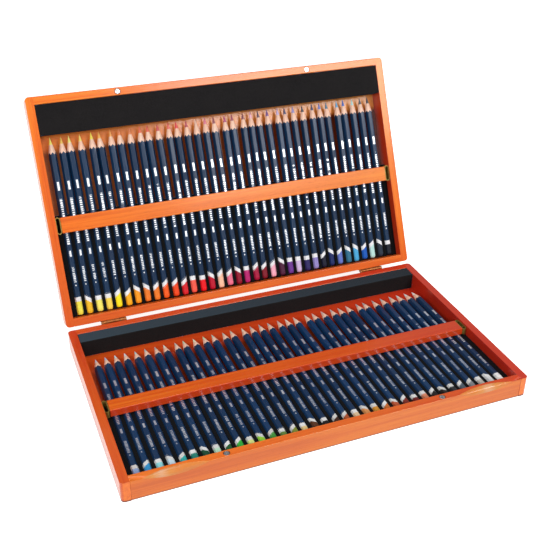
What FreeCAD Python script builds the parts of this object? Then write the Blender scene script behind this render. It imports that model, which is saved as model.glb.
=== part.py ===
"""Hinged wooden pencil case: two equal trays of 36 coloured pencils, standing open.

Millimetres. The origin is the middle of the base tray's underside, +X runs along the case,
+Y towards the hinges and +Z up.

Both trays are drawn in the same tray frame: the outer face lies at Z = 0, the open side is on
top, the dipped ends of the pencils are at -Y and their points at +Y. The base tray lies in that
frame as it is. The lid tray is turned about the hinge pins to its open angle, so that its
pencil ends are next to the base and its points are up.
"""
import FreeCAD, Part
import math
import os
import re
import Sketcher

SIZES = {
    # Pencils: hexagonal, one flat down, in one row per tray
    "pencil_length": 175,
    "pencil_flats": 6.9,
    "pencil_pitch": 9.78,
    "pencils_per_shade": 6,
    "point_length": 15,  # from the point to where the sharpened cone leaves a flat
    "point_facets": 12,
    "lead_out": 7.5,
    # Room around the row of pencils
    "side_margin": 9.05,  # first pencil's axis to the side rail
    "end_gap": 1.4,
    "point_gap": 1.4,
    # Tray frame: rails round a panel let into a rabbet
    "rail_width": 7.8,
    "panel_thickness": 2.5,
    "rabbet_depth": 4,
    "corner_radius": 3.5,
    "tongue_thickness": 2.6,
    "tongue_length": 3.5,
    "tongue_cover": 3.2,  # wood left over and under the hidden corner tongues
    # Foam: grooved rest under the pencils, plain blocks beyond their points
    "rest_floor": 2.3,
    "rest_rise": 2.7,  # how far the rest comes up beside a pencil, from its lower flat
    "rest_past_bar": 2,
    "groove_gap": 0.15,
    "lid_block_depth": 28.9,
    "base_block_depth": 15.4,
    "block_below_rim": 0.2,
    # Retaining bar across the pencils
    "bar_width": 15.3,
    "bar_thickness": 6.85,
    "bar_to_pencils": 0.15,
    "bar_edge": 0.5,
    "bar_from_ends": 89.5,  # pencils' dipped ends to the middle of the bar
    "bar_below_rim": 1.3,
    # Brass loop springs between the bar's ends and the side rails, each on one brad
    "clip_width": 4.6,
    "clip_length": 16.5,
    "clip_height": 6.6,
    "clip_strip": 0.6,
    "clip_to_bar": 0.3,
    "clip_below_bar_top": 0.5,
    "brad_shank": 1.2,
    "brad_head": 2.6,
    "brad_head_thickness": 0.6,
    "brad_length": 4.5,
    # Magnets in the two rims that meet
    "magnet_diameter": 5,
    "magnet_thickness": 3,
    "magnet_inset": 88,  # from the end of the case
    "magnet_sink": 0.4,
    "magnet_bore_gap": 0.5,
    # Finger scoops in the base's front edge
    "scoop_length": 56,
    "scoop_depth": 5,
    "scoop_inset": 45.5,
    # Hinges on the outer back faces
    "hinge_inset": 46,
    "hinge_width": 25,
    "middle_knuckle": 12.4,
    "pin_offset": 1.9,  # pin axis behind the back faces
    "pin_diameter": 1.5,
    "pin_running_gap": 0.05,
    "knuckle_diameter": 3.4,
    "knuckle_gap": 0.3,
    "notch_gap": 0.75,  # leaf clear of the other leaf's knuckles
    "leaf_thickness": 1,
    "leaf_height": 13,
    "leaf_start": 0.3,
    "leaf_corner": 2,
    "heel_width": 4.4,
    "heel_reach": 6.5,
    "heel_drop": 6.5,
    "heel_gap": 0.25,
    "screw_spacing": 15,
    "screw_drop": 9.4,
    "screw_diameter": 1.7,
    "screw_head_diameter": 3.2,
    "screw_head_thickness": 0.8,
    "screw_length": 5.6,
    "screw_gap": 0.05,
    "rim_gap": 0.5,  # between the closed rims
    "open_angle": 115,
}

BASE_SHADES = ("aqua", "green", "olive", "brown", "umber", "grey")
LID_SHADES = ("yellow", "orange", "red", "pink", "violet", "blue")
SHADES = {"base": BASE_SHADES, "lid": LID_SHADES}

# Places worked out from the sizes above, in the tray frame
LAYOUT = {
    "pencil_count": f"pencils_per_shade * {len(LID_SHADES)}",
    "row_length": "(pencil_count - 1) * pencil_pitch",
    "inner_x": "row_length / 2 + side_margin",
    "inner_y": "(end_gap + pencil_length + point_gap + lid_block_depth) / 2",
    "outer_x": "inner_x + rail_width",
    "outer_y": "inner_y + rail_width",
    "panel_x": "inner_x + rabbet_depth",
    "panel_y": "inner_y + rabbet_depth",
    "pencil_end_y": "end_gap - inner_y",
    "pencil_point_y": "pencil_end_y + pencil_length",
    "groove_z": "panel_thickness + rest_floor",
    "pencil_axis_z": "groove_z + pencil_flats / 2",
    "rest_top_z": "groove_z + rest_rise",
    "bar_y": "pencil_end_y + bar_from_ends",
    "bar_bottom_z": "pencil_axis_z + pencil_flats / 2 + bar_to_pencils",
    "bar_top_z": "bar_bottom_z + bar_thickness",
    "bar_x": "inner_x - clip_width - clip_to_bar",
    "rim_z": "bar_top_z + bar_below_rim",
    "tongue_z": "panel_thickness + tongue_cover",
    "tongue_height": "rim_z - tongue_cover - tongue_z",
    "tongue_near_y": "inner_y + (rail_width - tongue_thickness) / 2",
    "tongue_far_y": "tongue_near_y + tongue_thickness",
    "clip_z": "bar_top_z - clip_below_bar_top - clip_height",
    "brad_z": "clip_z + clip_height / 2",
    "magnet_x": "outer_x - magnet_inset",
    "magnet_y": "inner_y + rail_width / 2",
    "magnet_z": "rim_z - magnet_sink - magnet_thickness",
    "scoop_x": "outer_x - scoop_inset",
    "scoop_sag": "scoop_depth / sqrt(2)",
    "scoop_radius": "scoop_length ^ 2 / (8 * scoop_sag) + scoop_sag / 2",
    "pencil_corner": "pencil_flats / sqrt(3)",
    "point_slope": "pencil_flats / 2 / point_length",
    "hinge_x": "outer_x - hinge_inset",
    "pin_y": "outer_y + pin_offset",
    "pin_z": "rim_z + rim_gap / 2",
    "leaf_face": "pin_offset - leaf_thickness",  # pin axis to the plane of a leaf's outer face
    "lid_tilt": "180 - open_angle",
    "lid_y": "pin_y + pin_y * cos(lid_tilt) + pin_z * sin(lid_tilt)",
    "lid_z": "pin_z + pin_y * sin(lid_tilt) - pin_z * cos(lid_tilt)",
}

TINY = 1e-6
SWEEP = 4  # a cut reaches this far past what it cuts
FLATS = 8  # small round fasteners and their holes are drawn with this many flats
BENDS = 4  # a clip's round end is drawn with this many bends

doc = FreeCAD.newDocument("PencilCase")
nodes = []


def make_sheet():
    """Write the driving dimensions to the spreadsheet, one named cell each."""
    sheet = doc.addObject("Spreadsheet::Sheet", "Sizes")
    for row, (name, value) in enumerate(SIZES.items(), start=1):
        sheet.set(f"A{row}", name)
        sheet.set(f"B{row}", str(value))
        sheet.setAlias(f"B{row}", name)
    doc.recompute()


def formula(text):
    """Point each name in a formula at its cell or its worked-out place."""
    def owner(found):
        word = found.group()
        if word in SIZES:
            return "Sizes." + word
        return "Layout." + word if word in LAYOUT else word
    return re.sub(r"[a-z_]+", owner, text)


def make_layout():
    """Keep the worked-out places as bound values of the document."""
    layout = doc.addObject("App::VarSet", "Layout")
    for name in LAYOUT:
        layout.addProperty("App::PropertyFloat", name, "Places")
    for name, text in LAYOUT.items():
        layout.setExpression(name, formula(text))
    doc.recompute()
    return layout


def bind(obj, **formulas):
    """Bind properties of an object to formulas of sizes."""
    for name, text in formulas.items():
        obj.setExpression(name, formula(text))


TRAY_FRAME = {
    "base": "placement(vector(0; 0; 0); rotationx(0))",
    "lid": "placement(vector(0; lid_y; lid_z); rotationx(lid_tilt))",
}


def place(obj, tray, x="0", y="0", z="0", turn="rotationz(0)"):
    """Put an object at a place in its tray's frame, and keep it as a node of the model."""
    local = f"placement(vector({x}; {y}; {z}); {turn})"
    obj.setExpression("Placement", formula(f"{TRAY_FRAME[tray]} * {local}"))


def add_node(obj, label):
    obj.Label = label
    nodes.append(obj)
    return obj


# ---------------------------------------------------------------- sketches and features

def new_body(label, loose=False):
    """A body for one node; a loose one may hold several separate solids."""
    body = doc.addObject("PartDesign::Body", "Body")
    body.AllowCompound = loose
    return add_node(body, label)


def origin_feature(body, role):
    return next(item for item in body.Origin.OriginFeatures if item.Role == role)


def new_sketch(body, plane, lift):
    """A sketch on one of the body's own planes, moved along that plane's normal."""
    sketch = body.newObject("Sketcher::SketchObject", "Sketch")
    sketch.AttachmentSupport = [(origin_feature(body, plane), "")]
    sketch.MapMode = "FlatFace"
    sketch.setExpression(".AttachmentOffset.Base.z", formula(lift))
    return sketch


def tie(sketch, kind, *target, to, start):
    """Add a dimension to a sketch and bind it to a formula."""
    index = sketch.addConstraint(Sketcher.Constraint(kind, *target, start))
    sketch.setExpression(f"Constraints[{index}]", formula(to))


def outline(body, plane, *rings, lift="0"):
    """Closed outlines of straight lines, each corner tied to a pair of formulas."""
    sketch = new_sketch(body, plane, lift)
    for corners in rings:
        first, count = sketch.GeometryCount, len(corners)
        start = [FreeCAD.Vector(math.cos(2 * math.pi * i / count), math.sin(2 * math.pi * i / count))
                 for i in range(count)]
        for i in range(count):
            sketch.addGeometry(Part.LineSegment(start[i], start[(i + 1) % count]), False)
        for i in range(count):
            joined = (first + i, 2, first + (i + 1) % count, 1)
            sketch.addConstraint(Sketcher.Constraint("Coincident", *joined))
        for i, (across, up) in enumerate(corners):
            tie(sketch, "DistanceX", -1, 1, first + i, 1, to=across, start=start[i].x)
            tie(sketch, "DistanceY", -1, 1, first + i, 1, to=up, start=start[i].y)
    return sketch


def rectangle(x_a, y_a, x_b, y_b):
    return [(x_a, y_a), (x_b, y_a), (x_b, y_b), (x_a, y_b)]


def many_sided(across, up, diameter, sides=FLATS):
    """Corners of an even polygon, diameter across its flats, about a place."""
    step = 360 / sides
    radius = f"{diameter} / 2 / cos({step / 2})"
    return [(f"{across} + {radius} * cos({(i + 0.5) * step})", f"{up} + {radius} * sin({(i + 0.5) * step})")
            for i in range(sides)]


def circles(body, plane, centres, radius, lift="0"):
    """Circles of one radius, their centres tied to pairs of formulas."""
    sketch = new_sketch(body, plane, lift)
    for i, (across, up) in enumerate(centres):
        start = FreeCAD.Vector(10 * i + 10, 10, 0)
        sketch.addGeometry(Part.Circle(start, FreeCAD.Vector(0, 0, 1), 1), False)
        tie(sketch, "DistanceX", -1, 1, i, 3, to=across, start=start.x)
        tie(sketch, "DistanceY", -1, 1, i, 3, to=up, start=start.y)
        tie(sketch, "Radius", i, to=radius, start=1)
    return sketch


def loop_ring(width):
    """Corners of a clip's round-ended loop, along Y about the body's origin."""
    radius, reach = f"({width}) / 2", "(clip_length - clip_width) / 2"
    return [(f"{end} * {radius} * cos({180 * i / BENDS})",
             f"{end} * ({reach} + {radius} * sin({180 * i / BENDS}))")
            for end in (1, -1) for i in range(BENDS + 1)]


def grow(kind, body, sketch, length, reverse=False, both_ways=False):
    """Pad or Pocket of a sketch; both_ways centres the length on the sketch's plane."""
    feature = body.newObject("PartDesign::" + kind, kind)
    feature.Profile = sketch
    feature.Midplane = both_ways
    feature.Reversed = reverse
    bind(feature, Length=length)
    body.Tip = feature
    return feature


def pad(body, sketch, length, **ways):
    return grow("Pad", body, sketch, length, **ways)


def pocket(body, sketch, length, **ways):
    """Cut a pocket, and make sure that it has taken something away."""
    doc.recompute()
    before = body.Shape.Volume
    feature = grow("Pocket", body, sketch, length, **ways)
    doc.recompute()
    if body.Shape.Volume > before - TINY:
        raise RuntimeError(f"a pocket of {body.Label} cuts nothing")
    return feature


def repeat_along_x(body, features, count, length):
    """Repeat features along X, or the whole body where none are named."""
    pattern = body.newObject("PartDesign::LinearPattern", "Row")
    if features:
        pattern.Originals = features
    else:
        pattern.TransformMode = "Whole shape"
    pattern.Direction = (origin_feature(body, "X_Axis"), [""])
    bind(pattern, Occurrences=count, Length=length)
    body.Tip = pattern


def repeat_about_y(body, feature, count):
    pattern = body.newObject("PartDesign::PolarPattern", "Ring")
    pattern.Originals = [feature]
    pattern.Axis = (origin_feature(body, "Y_Axis"), [""])
    pattern.Angle = 360
    bind(pattern, Occurrences=count)
    body.Tip = pattern


def dress(kind, body, size_name, size, wanted):
    """Fillet or Chamfer the edges of the body's tip whose bounding boxes are wanted."""
    doc.recompute()
    base = body.Tip
    edges = [f"Edge{i}" for i, edge in enumerate(base.Shape.Edges, start=1) if wanted(edge.BoundBox)]
    feature = body.newObject("PartDesign::" + kind, kind)
    feature.Base = (base, edges)
    bind(feature, **{size_name: size})
    body.Tip = feature


def near(a, b):
    return abs(a - b) < TINY


# ---------------------------------------------------------------- wooden tray

def side_name(side):
    return "left" if side < 0 else "right"


def make_side_rail(tray, side, layout):
    """Side rail over the case's full depth, with a stopped rabbet, two mortises and a brad hole."""
    body = new_body(f"{tray}_{side_name(side)}_rail")
    inner, outer = f"{side} * inner_x", f"{side} * outer_x"
    pad(body, outline(body, "XY_Plane", rectangle(inner, "-outer_y", outer, "outer_y")), "rim_z")
    rabbet = rectangle(inner, "-panel_y", f"{side} * panel_x", "panel_y")
    pocket(body, outline(body, "XY_Plane", rabbet), "panel_thickness", reverse=True)
    for end in (-1, 1):
        mortise = rectangle(inner, f"{end} * tongue_near_y",
                            f"{side} * (inner_x + tongue_length)", f"{end} * tongue_far_y")
        pocket(body, outline(body, "XY_Plane", mortise, lift="tongue_z"), "tongue_height", reverse=True)
    hole = square_about("bar_y", "brad_z", "brad_shank")
    pocket(body, outline(body, "YZ_Plane", hole, lift=inner), "brad_length", reverse=side > 0)
    outer_x = side * layout.outer_x
    dress("Fillet", body, "Radius", "corner_radius",
          lambda box: near(box.XMin, outer_x) and near(box.XMax, outer_x) and near(box.YLength, 0))
    place(body, tray)


def square_about(across, up, side_length):
    return rectangle(f"{across} - {side_length} / 2", f"{up} - {side_length} / 2",
                     f"{across} + {side_length} / 2", f"{up} + {side_length} / 2")


def make_cross_rail(label, tray, at_back, magnets=False, scoops=False, hinges=False):
    """Front or back rail between the side rails, drawn at the front and turned for the back."""
    body = new_body(label)
    pad(body, outline(body, "XY_Plane", rectangle("-inner_x", "-outer_y", "inner_x", "-inner_y")), "rim_z")
    rabbet = rectangle("-inner_x", "-panel_y", "inner_x", "-inner_y")
    pocket(body, outline(body, "XY_Plane", rabbet), "panel_thickness", reverse=True)
    for end in (-1, 1):
        tongue = rectangle(f"{end} * inner_x", "-tongue_near_y",
                           f"{end} * (inner_x + tongue_length)", "-tongue_far_y")
        pad(body, outline(body, "XY_Plane", tongue, lift="tongue_z"), "tongue_height")
    if magnets:
        centres = [(f"{end} * magnet_x", "-magnet_y") for end in (-1, 1)]
        bores = circles(body, "XY_Plane", centres, "magnet_diameter / 2 + magnet_bore_gap", lift="rim_z")
        pocket(body, bores, "magnet_sink + magnet_thickness")
    if hinges:
        pilots = [many_sided(f"{end} * hinge_x + {hand} * screw_spacing / 2", "pin_z - screw_drop",
                             "(screw_diameter + 2 * screw_gap)") for end in (-1, 1) for hand in (-1, 1)]
        pocket(body, outline(body, "XZ_Plane", *pilots, lift="outer_y"), "screw_length")
    if scoops:
        for end in (-1, 1):
            cut_scoop(body, f"{end} * scoop_x")
    place(body, tray, turn="rotationz(180)" if at_back else "rotationz(0)")


def cut_scoop(body, x):
    """Lens-shaped finger scoop: a large cylinder laid across the top outer edge at 45 degrees."""
    doc.recompute()
    scoop = body.newObject("PartDesign::SubtractiveCylinder", "Scoop")
    bind(scoop, Radius="scoop_radius", Height="8 * scoop_depth")
    centre = f"vector({x}; -outer_y; rim_z) + vector(0; -1; 1) * (scoop_radius - scoop_sag) / sqrt(2)"
    foot = "vector(0; 1; 1) * 4 * scoop_depth / sqrt(2)"
    bind(scoop, Placement=f"placement({centre} - {foot}; rotationx(-45))")
    body.Tip = scoop


def make_block(label, tray, low, size):
    """Plain rectangular piece from its low corner and its lengths."""
    block = add_node(doc.addObject("Part::Box", "Block"), label)
    bind(block, Length=size[0], Width=size[1], Height=size[2])
    place(block, tray, *low)


def make_pencil_rest(tray):
    """Foam rest under the back half of the pencils, with a hexagonal groove for each."""
    body = new_body(f"{tray}_pencil_rest")
    plan = rectangle("-inner_x", "-inner_y", "inner_x", "bar_y + bar_width / 2 + rest_past_bar")
    pad(body, outline(body, "XY_Plane", plan, lift="panel_thickness"), "rest_top_z - panel_thickness")
    first, foot = "-row_length / 2", "(pencil_corner / 2 + groove_gap)"
    mouth = f"({foot} + (rest_rise + {SWEEP}) / tan(60))"
    groove = [(f"{first} - {foot}", "groove_z"), (f"{first} + {foot}", "groove_z"),
              (f"{first} + {mouth}", f"rest_top_z + {SWEEP}"), (f"{first} - {mouth}", f"rest_top_z + {SWEEP}")]
    cut = pocket(body, outline(body, "XZ_Plane", groove), "3 * inner_y", both_ways=True)
    repeat_along_x(body, [cut], "pencil_count", "row_length")
    place(body, tray)


def make_bar(tray):
    """Retaining bar, flat over the pencils, with its top edges planed off."""
    body = new_body(f"{tray}_bar")
    plan = rectangle("-bar_x", "bar_y - bar_width / 2", "bar_x", "bar_y + bar_width / 2")
    pad(body, outline(body, "XY_Plane", plan, lift="bar_bottom_z"), "bar_thickness")
    doc.recompute()
    top = body.Shape.BoundBox.ZMax
    dress("Chamfer", body, "Size", "bar_edge",
          lambda box: near(box.ZMin, top) and near(box.ZMax, top) and near(box.YLength, 0))
    place(body, tray)


# ---------------------------------------------------------------- fittings

def make_clip(tray, side):
    """Loop of brass strip, upright on its edge, that springs against the end of the bar."""
    body = new_body(f"{tray}_{side_name(side)}_clip")
    loop = outline(body, "XY_Plane", loop_ring("clip_width"), loop_ring("clip_width - 2 * clip_strip"))
    pad(body, loop, "clip_height")
    hole = square_about("0", "clip_height / 2", "brad_shank")
    pocket(body, outline(body, "YZ_Plane", hole), "clip_width", reverse=side > 0)
    place(body, tray, f"{side} * (inner_x - clip_width / 2)", "bar_y", "clip_z")


def make_brads(tray):
    """Two cut brads, one through each clip into its side rail."""
    body = new_body(f"{tray}_clip_brads", loose=True)
    for side in (-1, 1):
        face = f"{side} * (inner_x - clip_strip)"
        head = outline(body, "YZ_Plane", square_about("bar_y", "brad_z", "brad_head"), lift=face)
        pad(body, head, "brad_head_thickness", reverse=side > 0)
        shank = outline(body, "YZ_Plane", square_about("bar_y", "brad_z", "brad_shank"), lift=face)
        pad(body, shank, "clip_strip + brad_length", reverse=side < 0)
    place(body, tray)


def make_magnets(tray, at_back):
    """Two disc magnets let into the rim."""
    discs = []
    for end in (-1, 1):
        disc = doc.addObject("Part::Cylinder", "Disc")
        bind(disc, Radius="magnet_diameter / 2", Height="magnet_thickness")
        bind(disc, Placement=f"placement(vector({end} * magnet_x; -magnet_y; magnet_z); rotationz(0))")
        discs.append(disc)
    pair = add_node(doc.addObject("Part::Compound", "Pair"), f"{tray}_magnets")
    pair.Links = discs
    place(pair, tray, turn="rotationz(180)" if at_back else "rotationz(0)")


def hinge_place(tray, side):
    """Place of a leaf whose pin lies along its own X axis, on the tray's hinge side."""
    if tray == "base":
        return {"x": f"{side} * hinge_x", "y": "pin_y", "z": "pin_z"}
    return {"x": f"{side} * hinge_x", "y": "-pin_y", "z": "pin_z", "turn": "rotationz(180)"}


def make_leaf(tray, side):
    """Hinge leaf: the base's has the two outer knuckles, each with a heel that stops the lid,
    and the lid's has the middle one."""
    body = new_body(f"{tray}_{side_name(side)}_hinge_leaf")
    plate = rectangle("-pin_offset", "-leaf_height", "-leaf_face", "-leaf_start")
    pad(body, outline(body, "YZ_Plane", plate), "hinge_width", both_ways=True)
    foot = -SIZES["leaf_height"]
    dress("Chamfer", body, "Size", "leaf_corner",
          lambda box: near(box.XLength, 0) and near(box.ZMin, foot) and near(box.ZMax, foot))
    barrel = circles(body, "YZ_Plane", [("0", "0")], "knuckle_diameter / 2")
    pad(body, barrel, "hinge_width", both_ways=True)
    deep = "(knuckle_diameter / 2 + notch_gap)"
    if tray == "base":
        for hand in (-1, 1):
            add_heel(body, f"{hand} * (hinge_width + middle_knuckle) / 4")
        edge = "(middle_knuckle + knuckle_gap) / 2"
        cuts = [rectangle(f"-{edge}", f"-{deep}", edge, deep)]
    else:
        edge = "(middle_knuckle - knuckle_gap) / 2"
        cuts = [rectangle(f"{hand} * {edge}", f"-{deep}", f"{hand} * hinge_width", deep)
                for hand in (-1, 1)]
    cuts += [many_sided(f"{hand} * screw_spacing / 2", "-screw_drop", "(screw_diameter + 2 * screw_gap)")
             for hand in (-1, 1)]
    pocket(body, outline(body, "XZ_Plane", *cuts), "4 * (pin_offset + knuckle_diameter)", both_ways=True)
    bore = circles(body, "YZ_Plane", [("0", "0")], "pin_diameter / 2 + pin_running_gap")
    pocket(body, bore, "2 * hinge_width", both_ways=True)
    place(body, tray, **hinge_place(tray, side))


def add_heel(body, x):
    """Gusset behind a base knuckle; its upper face meets the lid's open leaf."""
    across, up = "cos(lid_tilt)", "sin(lid_tilt)"
    rise = "(leaf_face - heel_gap)"
    heel = [("-leaf_face", "-heel_drop"), ("-leaf_face", "0"),
            (f"{rise} * {across}", f"{rise} * {up}"),
            (f"{rise} * {across} + heel_reach * {up}", f"{rise} * {up} - heel_reach * {across}")]
    pad(body, outline(body, "YZ_Plane", heel, lift=x), "heel_width", both_ways=True)


def make_pin(side):
    pin = add_node(doc.addObject("Part::Cylinder", "Pin"), f"{side_name(side)}_hinge_pin")
    bind(pin, Radius="pin_diameter / 2", Height="hinge_width")
    place(pin, "base", f"{side} * hinge_x - hinge_width / 2", "pin_y", "pin_z", turn="rotationy(90)")


def make_screws(tray):
    """Four flat-head screws that hold the tray's two leaves."""
    body = new_body(f"{tray}_hinge_screws", loose=True)
    first = "-hinge_x - screw_spacing / 2"
    head = outline(body, "XZ_Plane", many_sided(first, "0", "screw_head_diameter"), lift="leaf_face")
    parts = [pad(body, head, "screw_head_thickness", reverse=True)]
    shank = outline(body, "XZ_Plane", many_sided(first, "0", "screw_diameter"), lift="leaf_face")
    parts.append(pad(body, shank, "leaf_thickness + screw_length"))
    repeat_along_x(body, parts, "2", "screw_spacing")
    repeat_along_x(body, [], "2", "2 * hinge_x")
    if tray == "base":
        place(body, tray, "0", "pin_y", "pin_z - screw_drop")
    else:
        place(body, tray, "0", "-pin_y", "pin_z - screw_drop", turn="rotationz(180)")


# ---------------------------------------------------------------- pencils

def hexagon():
    """Corners of a pencil's section, one flat down."""
    return [(f"pencil_corner * cos({60 * i})", f"pencil_corner * sin({60 * i})") for i in range(6)]


def sharpen(body, from_point, to_point):
    """Cut the facets of the sharpened end, between two distances from the point."""
    outside = "2 * pencil_flats"
    cut = [(f"-({d})", f"({d}) * point_slope") for d in (from_point, to_point)]
    cut += [(f"-({d})", outside) for d in (to_point, from_point)]
    facet = pocket(body, outline(body, "YZ_Plane", cut), "4 * pencil_flats", both_ways=True)
    repeat_about_y(body, facet, "point_facets")


def make_casings(tray, shade, first_x):
    """Painted casings of one shade's pencils, sharpened at +Y."""
    body = new_body(f"{tray}_casings_{shade}", loose=True)
    pad(body, outline(body, "XZ_Plane", hexagon(), lift="lead_out"), "pencil_length - lead_out")
    sharpen(body, "lead_out - 1", "(pencil_corner + 0.5) / point_slope")
    repeat_along_x(body, [], "pencils_per_shade", "(pencils_per_shade - 1) * pencil_pitch")
    place(body, tray, first_x, "pencil_point_y", "pencil_axis_z")


def make_leads(tray, shade, first_x):
    """Bare points of one shade's leads, seated on their casings."""
    body = new_body(f"{tray}_leads_{shade}", loose=True)
    pad(body, outline(body, "XZ_Plane", hexagon()), "lead_out")
    sharpen(body, "-1", "lead_out + 1")
    repeat_along_x(body, [], "pencils_per_shade", "(pencils_per_shade - 1) * pencil_pitch")
    place(body, tray, first_x, "pencil_point_y", "pencil_axis_z")


# ---------------------------------------------------------------- assembly

def make_tray(tray, layout):
    """Everything that a tray carries, apart from the rails that differ between the two."""
    for side in (-1, 1):
        make_side_rail(tray, side, layout)
        make_clip(tray, side)
        make_leaf(tray, side)
    make_block(f"{tray}_panel", tray, ("-panel_x", "-panel_y", "0"),
               ("2 * panel_x", "2 * panel_y", "panel_thickness"))
    depth = f"{tray}_block_depth"
    make_block(f"{tray}_filler_block", tray, ("-inner_x", f"inner_y - {depth}", "panel_thickness"),
               ("2 * inner_x", depth, "rim_z - block_below_rim - panel_thickness"))
    make_pencil_rest(tray)
    make_bar(tray)
    make_brads(tray)
    make_screws(tray)
    for index, shade in enumerate(SHADES[tray]):
        first_x = f"-row_length / 2 + {index} * pencils_per_shade * pencil_pitch"
        make_casings(tray, shade, first_x)
        make_leads(tray, shade, first_x)


def build():
    make_sheet()
    layout = make_layout()
    make_tray("base", layout)
    make_cross_rail("base_front_rail", "base", at_back=False, magnets=True, scoops=True)
    make_cross_rail("base_back_rail", "base", at_back=True, hinges=True)
    make_magnets("base", at_back=False)
    make_tray("lid", layout)
    make_cross_rail("lid_front_rail", "lid", at_back=True, magnets=True)
    make_cross_rail("lid_back_rail", "lid", at_back=False, hinges=True)
    make_magnets("lid", at_back=True)
    for side in (-1, 1):
        make_pin(side)
    doc.recompute()


def check_and_write():
    """Stop on any failed object or bad shape, then write one STEP file per node."""
    for obj in doc.Objects:
        if "Invalid" in obj.State or "Error" in obj.State:
            raise RuntimeError(f"{obj.Label} ({obj.Name}) failed: {obj.State}")
    for obj in nodes:
        if obj.Shape.isNull() or not obj.Shape.isValid() or not obj.Shape.Solids:
            raise RuntimeError(f"{obj.Label} has no sound shape")
    os.makedirs("parts", exist_ok=True)
    for obj in nodes:
        obj.Shape.exportStep(f"parts/{obj.Label}.step")
        print(f"{obj.Label:26s} solids {len(obj.Shape.Solids):2d}  volume {obj.Shape.Volume:10.1f}")
    print(f"{len(nodes)} nodes")


build()
check_and_write()
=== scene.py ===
"""Looks of the hinged pencil case: camera, light, and a detailed piece or material for every part.

Sizes and places in the functions below are millimetres in a tray's own frame: X along the case,
Y from the pencils' dipped ends to their points, Z out of the open side.
"""
import math
import random

import bmesh
import bpy
from mathutils import Matrix, Vector, noise


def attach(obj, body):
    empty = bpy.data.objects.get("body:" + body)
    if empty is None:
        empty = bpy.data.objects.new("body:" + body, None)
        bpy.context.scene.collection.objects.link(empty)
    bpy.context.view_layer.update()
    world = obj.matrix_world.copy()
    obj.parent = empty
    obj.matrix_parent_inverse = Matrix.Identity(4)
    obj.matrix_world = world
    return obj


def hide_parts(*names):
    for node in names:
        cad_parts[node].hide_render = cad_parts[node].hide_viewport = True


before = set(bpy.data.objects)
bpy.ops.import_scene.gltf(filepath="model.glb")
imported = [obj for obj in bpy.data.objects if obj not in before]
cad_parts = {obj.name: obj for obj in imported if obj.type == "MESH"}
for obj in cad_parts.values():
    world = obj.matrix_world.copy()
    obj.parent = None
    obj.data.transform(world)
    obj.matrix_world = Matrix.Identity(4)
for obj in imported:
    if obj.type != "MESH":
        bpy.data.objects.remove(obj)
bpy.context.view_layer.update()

MM = 0.001

# Where the trays stand: the lid is open at 115 degrees, so its own frame is turned by 65
LID = Matrix.Translation((0, 0.179180, 0.114150)) @ Matrix.Rotation(math.radians(65), 4, "X")
TRAYS = {"base": Matrix.Identity(4), "lid": LID}

# Pencils: 36 side by side in each tray, six to a node
COUNT, GROUP, PITCH = 36, 6, 9.78
FIRST_X, POINT_Y, AXIS_Z = -(COUNT - 1) / 2 * PITCH, 73.05, 8.25
APOTHEM, CORNER_ROUND, LENGTH = 3.45, 0.6, 175
CONE, LEAD_OUT = 15, 7.5
POINT_SLOPE = APOTHEM / CONE
TURN_AT, ASIDE_AT = 133, 21

# Trays: half the inner width and depth, the floor, the end of the foam rest, the spring clips
INNER_X, INNER_Y, PANEL_Z, REST_END = 180.2, 103.35, 2.5, -2.8
BAR_Y, CLIP_Z, CLIP_HEIGHT, CLIP_STRIP = -12.45, 11.6, 6.6, 0.6

# Hinges: the screws' places along the back, the outer face of the leaves, their middle's height
SCREW_X, LEAF_Y, LEAF_Z = (-149.5, -134.5, 134.5, 149.5), 112.15, 10.85

# Finger scoops of the front rail: where they lie to either side, and where each one's painted
# highlight is palest
SCOOP_FROM, SCOOP_TO, SCOOP_HIGHLIGHT_AT = 112, 173, (-155, 147)

# The lengths over which a board's stained colour and its painted light and shade change, and where
# the floor between the pencils ends and its clear strip at their points begins; the painted shade
# under the pencils fades out between the two
STAIN_AND_LIGHT_SPAN = {"x": 376, "y": 222}
STRIP_FROM, STRIP_TO = 57, 62

SHADES = {"base": ("aqua", "green", "olive", "brown", "umber", "grey"),
          "lid": ("yellow", "orange", "red", "pink", "violet", "blue")}
COLOURS = {
    "lemon": "f2ea50", "mustard": "ecbc28", "straw": "f0e86a", "naples": "f2d452", "sun": "f8e41c",
    "golden": "f5ae1c", "amber": "f59a1c", "orange": "ea7a28", "bright orange": "f05c1c",
    "red orange": "e8481c", "red": "d2202a", "coral": "ef5b4a", "bright red": "e8141f",
    "crimson": "b90f2c", "peach": "f3bfa0", "pink": "e8728f", "dark crimson": "8c0f2b",
    "magenta": "b41f6d", "cherry": "a3123c", "dark red": "7e1426", "light pink": "f0a9bd",
    "plum": "4b1838", "violet": "6a3591", "lilac": "c9b3dc", "indigo": "2b2560",
    "lavender": "9086c6", "night": "10142c", "dark blue": "16275f", "periwinkle": "5f74c4",
    "teal blue": "2f6f8e", "sky": "46a6d8", "strong blue": "1758b8", "mint": "b3ded8",
    "navy grey": "26303f", "blue black": "141a26", "light blue": "7fb4e0", "pale aqua": "8fd6dc",
    "ice": "c3dbe8", "turquoise": "2ba7a4", "sea green": "1f7f72", "dark green": "12492f",
    "pale mint": "b5dcc0", "forest": "1d5a2c", "bright green": "2fae3c", "celery": "d3df86",
    "lime": "8fce3a", "green": "3c8f36", "moss": "61803a", "olive": "7f8a33",
    "pale ochre": "dcc285", "brown": "573019", "black": "141212", "dark brown": "3d2115",
    "sienna": "a8502a", "sand": "d9bd97", "tan": "cf8a4e", "golden ochre": "c98a2c",
    "orange ochre": "c3692a", "terracotta": "b4532f", "brown red": "7b2a1e", "deep red": "6b1618",
    "light terracotta": "cd7c5a", "brown black": "231914", "grey black": "25272a",
    "slate": "4a5763", "grey": "7d8084", "warm grey": "b3aea6", "light grey": "c9cbcd",
    "white": "f1f0ec", "pale blue": "93a9d2", "bright sky": "2f8fc8",
}
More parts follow.
